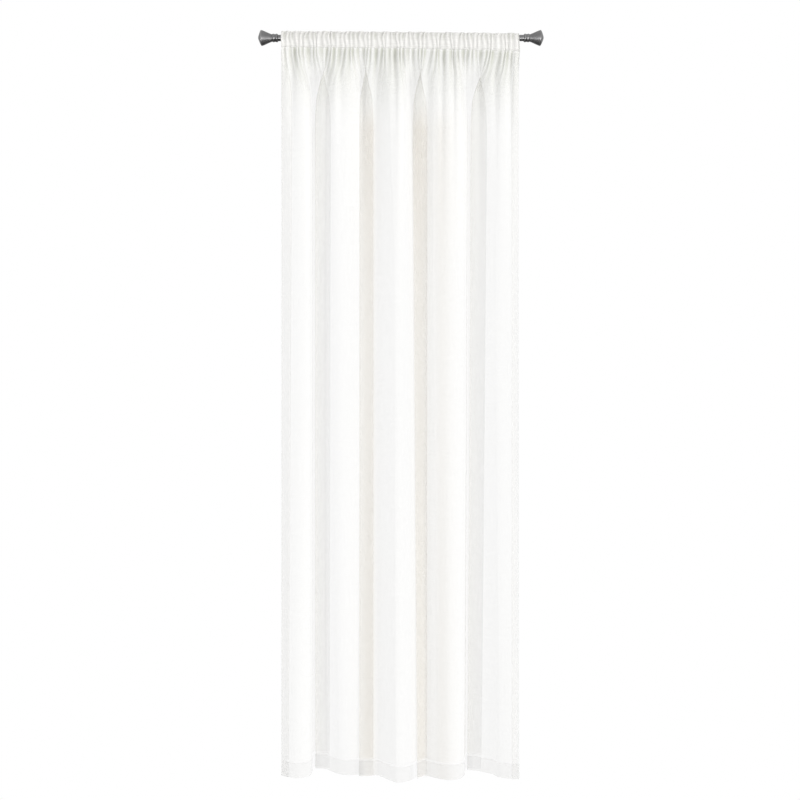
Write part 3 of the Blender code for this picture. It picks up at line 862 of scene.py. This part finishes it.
def tape_point(column, z):
    """A point of the tape's middle, at a column of cloth and a height in millimetres."""
    panel_point = cloth_point(column, z)
    height = z * MM - fall_at(z).drop * heading_drop(column)
    turn = 2 * pi * (column - 0.5) / PLEAT_COLUMNS
    wave = tanh(FLAT_TOPS * cos(turn)) / tanh(FLAT_TOPS)
    back_out = max(-SEAM_BACK, CLEAR_RADIUS + SHOULDER - abs(height))
    behind = -min(back_out, CLEAR_RADIUS) - PLEAT_SWING * (1 - wave)
    edge = min(z - TAPE_BOTTOM, TAPE_TOP - z) / SEAM_EASE
    if edge < 1:
        seam = -panel_point.y - TURNED_PLY - SEAM_GAP
        ease = max(edge, 0.0)
        behind = between(seam, behind, ease * ease * (3 - 2 * ease))
    bulge = sum(cos(pi * (z - cord) / CORD_WIDTH) + 1 for cord in CORD_HEIGHTS
                if abs(z - cord) < CORD_WIDTH)
    return Vector((panel_point.x, -behind + CORD_BULGE * bulge / 2, panel_point.z))


tape_heights = spread(TAPE_TOP, TAPE_BOTTOM, TAPE_ROWS) + [TAPE_BOTTOM]
tape_rows = [[tape_point(column, z) for column in cut_columns] for z in tape_heights]
bm = bmesh.new()
for row in TAPE_STITCH_ROWS:
    line = [point + Vector((0.0, 0.5 * TAPE_THICKNESS + STITCH_LIFT, 0.0))
            for point in tape_rows[row]]
    backward = [-grid_normal(tape_rows, row, column) for column in every_column]
    lay_stitches(bm, stitch, line, backward, None)
tape_stitches = link_piece("tape_stitches", bm, white_thread)
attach(tape_stitches, "root")

bm = bmesh.new()
bmesh.ops.create_grid(bm, x_segments=last_cut, y_segments=TAPE_ROWS, size=0.5)
uv_layer = bm.loops.layers.uv.new("cloth")
plies = bm.verts.layers.float.new("plies")
hollow = bm.verts.layers.float.new("hollow")
warm = bm.verts.layers.float.new("warm")
cloth_place = {}
for vert in bm.verts:
    column = round((vert.co.x + 0.5) * last_cut)
    row = round((0.5 - vert.co.y) * TAPE_ROWS)
    vert.co = tape_rows[row][column]
    # The tape gets no painted shade
    vert[plies], vert[hollow], vert[warm] = TAPE_PLIES, 0.0, 0.0
    cloth_place[vert] = (column / last_cut * FLAT_WIDTH, -tape_heights[row] * MM)
for face in bm.faces:
    for loop in face.loops:
        loop[uv_layer].uv = cloth_place[loop.vert]
tape_weave = voile("woven white tape", 0.60, 0.42)
tape = link_piece("woven_tape", bm, tape_weave)
ply = tape.modifiers.new("thickness", "SOLIDIFY")
ply.thickness = TAPE_THICKNESS
ply.offset = 0.0
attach(tape, "root")
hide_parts("heading_tape")

# --- Studio --------------------------------------------------------------------------------
# A white room with a pale floor that can't be told from the backdrop. A broad soft light comes
# from the right, a low strip shows in the metal alone, and a weak glow lies on the middle of
# the cloth. The camera is level with the curtain's middle, three metres in front of it.

FLOOR_HEIGHT = -2.62
FLOOR_HALF = 8.0
WHITE = (1.0, 1.0, 1.0, 1.0)
BLACK = (0.0, 0.0, 0.0, 1.0)
FILL_FROM = Vector((0.1, -1.0, -0.25))
LIGHT_SIDE = 1.02
SHADE_SIDE = 0.30
KEY_FROM = Vector((0.80, -0.60, 0.0))
KEY_ENERGY = 1.8
STRIP_PLACE = Vector((0.0, -1.2, -0.72))
STRIP_ENERGY = 14.0
GLOW_PLACE = Vector((0.35, -1.5, -1.2))
GLOW_FROM = Vector((0.35, -1.5, 0.0))
GLOW_ENERGY = 2.6
CAMERA_PLACE = Vector((-0.003, -3.0, -1.2145))

bm = bmesh.new()
bmesh.ops.create_grid(bm, x_segments=1, y_segments=1, size=FLOOR_HALF)
bmesh.ops.translate(bm, vec=(0.0, 0.0, FLOOR_HEIGHT), verts=bm.verts)
pale = bpy.data.materials.new("pale floor")
pale.use_nodes = True
pale_shader = pale.node_tree.nodes["Principled BSDF"]
pale_shader.inputs["Base Color"].default_value = BLACK
pale_shader.inputs["Roughness"].default_value = 0.9
pale_shader.inputs["Specular IOR Level"].default_value = 0.0
pale_shader.inputs["Emission Color"].default_value = WHITE
pale_shader.inputs["Emission Strength"].default_value = 1.0
floor = link_piece("floor", bm, pale)
floor.visible_glossy = False
floor.visible_diffuse = False
floor.visible_transmission = False
floor.visible_shadow = False

world = bpy.data.worlds.new("white studio")
world.use_nodes = True
tree = world.node_tree
backdrop = tree.nodes["Background"]
backdrop.inputs["Color"].default_value = WHITE
direction = add_node(tree, "ShaderNodeTexCoord")
toward = add_node(tree, "ShaderNodeVectorMath", operation="DOT_PRODUCT")
toward.inputs[1].default_value = FILL_FROM.normalized()
softbox = add_node(tree, "ShaderNodeMapRange", From_Min=-1.0, From_Max=1.0,
                   To_Min=SHADE_SIDE, To_Max=LIGHT_SIDE)
seen = add_node(tree, "ShaderNodeLightPath")
upward = add_node(tree, "ShaderNodeVectorMath", operation="DOT_PRODUCT")
upward.inputs[1].default_value = (0.0, 0.0, 1.0)
mirrored = add_node(tree, "ShaderNodeMapRange", From_Min=-0.65, From_Max=0.0, To_Min=0.12,
                    To_Max=0.85)
glossy = add_node(tree, "ShaderNodeMix", data_type="FLOAT")
strength = add_node(tree, "ShaderNodeMix", data_type="FLOAT")
strength.inputs[3].default_value = 1.0
tree.links.new(direction.outputs["Generated"], upward.inputs[0])
tree.links.new(upward.outputs["Value"], mirrored.inputs["Value"])
tree.links.new(seen.outputs["Is Glossy Ray"], glossy.inputs[0])
tree.links.new(softbox.outputs["Result"], glossy.inputs[2])
tree.links.new(mirrored.outputs["Result"], glossy.inputs[3])
tree.links.new(direction.outputs["Generated"], toward.inputs[0])
tree.links.new(toward.outputs["Value"], softbox.inputs["Value"])
tree.links.new(seen.outputs["Is Camera Ray"], strength.inputs[0])
tree.links.new(glossy.outputs[0], strength.inputs[2])
tree.links.new(strength.outputs[0], backdrop.inputs["Strength"])
bpy.context.scene.world = world

key = bpy.data.lights.new("soft key", "SUN")
key.energy = KEY_ENERGY
key.angle = radians(25)
key_object = bpy.data.objects.new("soft key", key)
key_object.rotation_euler = KEY_FROM.to_track_quat("Z", "Y").to_euler()
key_object.visible_glossy = False
bpy.context.scene.collection.objects.link(key_object)

strip = bpy.data.lights.new("low strip", "AREA")
strip.shape = "RECTANGLE"
strip.size = 1.7
strip.size_y = 0.4
strip.energy = STRIP_ENERGY
strip_object = bpy.data.objects.new("low strip", strip)
strip_object.location = STRIP_PLACE
strip_object.rotation_euler = STRIP_PLACE.to_track_quat("Z", "Y").to_euler()
strip_object.visible_camera = False
strip_object.visible_diffuse = False
strip_object.visible_transmission = False
bpy.context.scene.collection.objects.link(strip_object)

glow_light = bpy.data.lights.new("middle glow", "AREA")
glow_light.size = 0.8
glow_light.energy = GLOW_ENERGY
glow_object = bpy.data.objects.new("middle glow", glow_light)
glow_object.location = GLOW_PLACE
glow_object.rotation_euler = GLOW_FROM.to_track_quat("Z", "Y").to_euler()
glow_object.visible_camera = False
glow_object.visible_glossy = False
bpy.context.scene.collection.objects.link(glow_object)

camera = bpy.data.cameras.new("camera")
camera.lens = 40.24
camera.sensor_width = 36.0
camera_object = bpy.data.objects.new("camera", camera)
camera_object.location = CAMERA_PLACE
camera_object.rotation_euler = (radians(90), 0.0, 0.0)
bpy.context.scene.collection.objects.link(camera_object)
bpy.context.scene.camera = camera_object
bpy.context.scene.view_settings.view_transform = "Standard"
bpy.context.scene.cycles.transparent_max_bounces = 48
